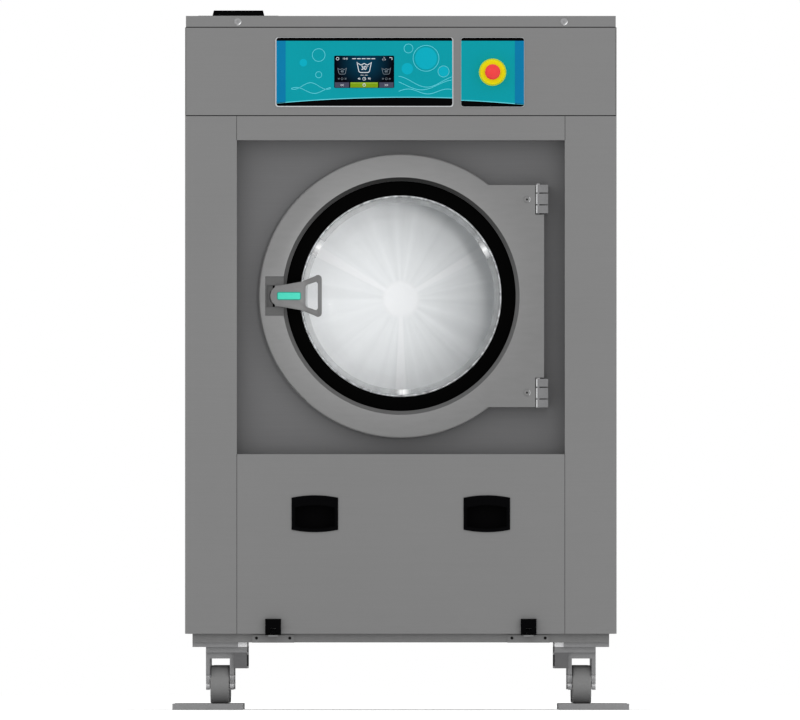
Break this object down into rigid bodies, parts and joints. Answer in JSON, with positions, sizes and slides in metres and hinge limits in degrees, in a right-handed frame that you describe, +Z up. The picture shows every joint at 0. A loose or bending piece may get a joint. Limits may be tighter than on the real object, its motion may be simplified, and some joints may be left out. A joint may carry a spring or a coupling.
{
  "type": "industrial washing machine",
  "caption": "Front-loading soft-mount washing machine with a swinging glass door, sprung tub and belt-driven drum, on wheels that stand on anchor plates.",
  "frame": {"origin": "on the floor, below the middle of the whole machine's box", "axes": "+Z up, the front with the door faces -Y, +X to the right of someone facing the front"},
  "size_m": [0.835, 0.885, 1.2792],
  "materials": {
    "panel_grey": "satin, fine brushed grain",
    "recess_steel": "dark brushed",
    "bright_steel": "polished",
    "zinc_steel": "zinc plated",
    "base_steel": "satin",
    "cast_grey": "painted casting",
    "door_alloy": "satin",
    "handle_alloy": "satin",
    "black_plastic": "matt",
    "dark_plastic": "matt",
    "rubber": "matt",
    "wheel_grey": "grey tread",
    "teal_trim": "gloss film",
    "screen": "gloss",
    "yellow_plastic": "gloss",
    "red_plastic": "gloss",
    "door_glass": "clear",
    "brass_valve": "satin"
  },
  "bodies": {
    "root": {"base_side_rails": "base_steel", "base_cross_rails": "base_steel", "side_panel_left": "panel_grey", "side_panel_right": "panel_grey", "rear_panel": "panel_grey", "top_lid": "panel_grey", "control_fascia": "panel_grey", "front_bridge": "panel_grey", "display_panel": "teal_trim", "touch_screen": "screen", "estop_panel": "teal_trim", "estop_collar": "yellow_plastic", "soap_box": "black_plastic", "hinge_brackets": "zinc_steel", "caster_forks": "zinc_steel", "axle_pins": "bright_steel", "tie_rails": "base_steel", "floor_plates": "zinc_steel", "inlet_valves": "brass_valve", "drain_valve": "dark_plastic", "damper_cylinders": "dark_plastic", "springs": "zinc_steel", "fill_bellows": "rubber", "drain_bellows": "rubber"},
    "suspended": {"tub_wall": "recess_steel", "tub_back": "recess_steel", "tub_front_plate": "recess_steel", "bearing_housing": "cast_grey", "bearings": "bright_steel", "cradle_saddles": "base_steel", "cradle_beams": "base_steel", "counterweight": "cast_grey", "motor_housing": "cast_grey", "lock_housing": "dark_plastic", "door_hinge_blocks": "zinc_steel", "door_hinge_pins": "bright_steel", "damper_rods": "bright_steel", "drive_belt": "rubber"},
    "drum": {"drum_wall": "bright_steel", "drum_lifters": "bright_steel", "drum_spider": "cast_grey", "drum_pulley": "cast_grey"},
    "motor_rotor": {"motor_pulley": "cast_grey"},
    "door": {"door_ring": "door_alloy", "door_gasket": "rubber", "glass_rim": "bright_steel", "door_glass": "door_glass", "door_hinge_leaves": "zinc_steel", "handle_bracket": "cast_grey"},
    "handle": {"door_handle": "handle_alloy"},
    "stop_stem": {"estop_stem": "red_plastic"},
    "stop_head": {"estop_head": "red_plastic"},
    "soap_cover": {"soap_lid": "black_plastic"},
    "service_door": {"service_panel": "panel_grey", "panel_pulls": "black_plastic", "panel_hinge_blocks": "black_plastic"},
    "wheel_fl": {"wheel_front_left": "wheel_grey"},
    "wheel_fr": {"wheel_front_right": "wheel_grey"},
    "wheel_rl": {"wheel_rear_left": "wheel_grey"},
    "wheel_rr": {"wheel_rear_right": "wheel_grey"}
  },
  "joints": [
    {"name": "suspension", "type": "slide", "parent": "root", "child": "suspended", "axis": [0, 0, 1], "range_m": [-0.01, 0.01], "stiffness_N_per_m": 60000, "springref_m": 0.03072, "deforming": ["springs", "fill_bellows", "drain_bellows"]},
    {"name": "drum_spin", "type": "hinge", "parent": "suspended", "child": "drum", "pos_m": [0, 0, 0.75595], "axis": [0, 1, 0], "continuous": true},
    {"name": "motor_spin", "type": "hinge", "parent": "suspended", "child": "motor_rotor", "pos_m": [0, 0, 0.32595], "axis": [0, 1, 0], "continuous": true},
    {"name": "door_swing", "type": "hinge", "parent": "suspended", "child": "door", "pos_m": [0.2512, -0.3929, 0.75595], "axis": [0, 0, 1], "range_deg": [0, 110]},
    {"name": "handle_pull", "type": "hinge", "parent": "door", "child": "handle", "pos_m": [-0.222, -0.3865, 0.75595], "axis": [0, 0, -1], "range_deg": [0, 30], "stiffness_Nm_per_rad": 1.5, "springref_deg": -5.73},
    {"name": "stop_press", "type": "slide", "parent": "root", "child": "stop_stem", "axis": [0, 1, 0], "range_m": [0, 0.005], "stiffness_N_per_m": 1500, "springref_m": -0.003},
    {"name": "stop_twist", "type": "hinge", "parent": "stop_stem", "child": "stop_head", "pos_m": [0.1676, -0.4325, 1.1647], "axis": [0, 1, 0], "range_deg": [0, 45], "stiffness_Nm_per_rad": 0.3, "springref_deg": -5.73},
    {"name": "soap_lid_lift", "type": "hinge", "parent": "root", "child": "soap_cover", "pos_m": [-0.297, -0.1615, 1.2741], "axis": [-1, 0, 0], "range_deg": [0, 100]},
    {"name": "service_panel_drop", "type": "hinge", "parent": "root", "child": "service_door", "pos_m": [0, -0.4085, 0.143], "axis": [1, 0, 0], "range_deg": [0, 90]},
    {"name": "wheel_fl_roll", "type": "hinge", "parent": "root", "child": "wheel_fl", "pos_m": [-0.3308, -0.3275, 0.0468], "axis": [1, 0, 0], "continuous": true},
    {"name": "wheel_fr_roll", "type": "hinge", "parent": "root", "child": "wheel_fr", "pos_m": [0.3308, -0.3275, 0.0468], "axis": [1, 0, 0], "continuous": true},
    {"name": "wheel_rl_roll", "type": "hinge", "parent": "root", "child": "wheel_rl", "pos_m": [-0.3308, 0.3225, 0.0468], "axis": [1, 0, 0], "continuous": true},
    {"name": "wheel_rr_roll", "type": "hinge", "parent": "root", "child": "wheel_rr", "pos_m": [0.3308, 0.3225, 0.0468], "axis": [1, 0, 0], "continuous": true}
  ],
  "couplings": [
    {"joint": "motor_spin", "follows": "drum_spin", "ratio": 4.5}
  ]
}
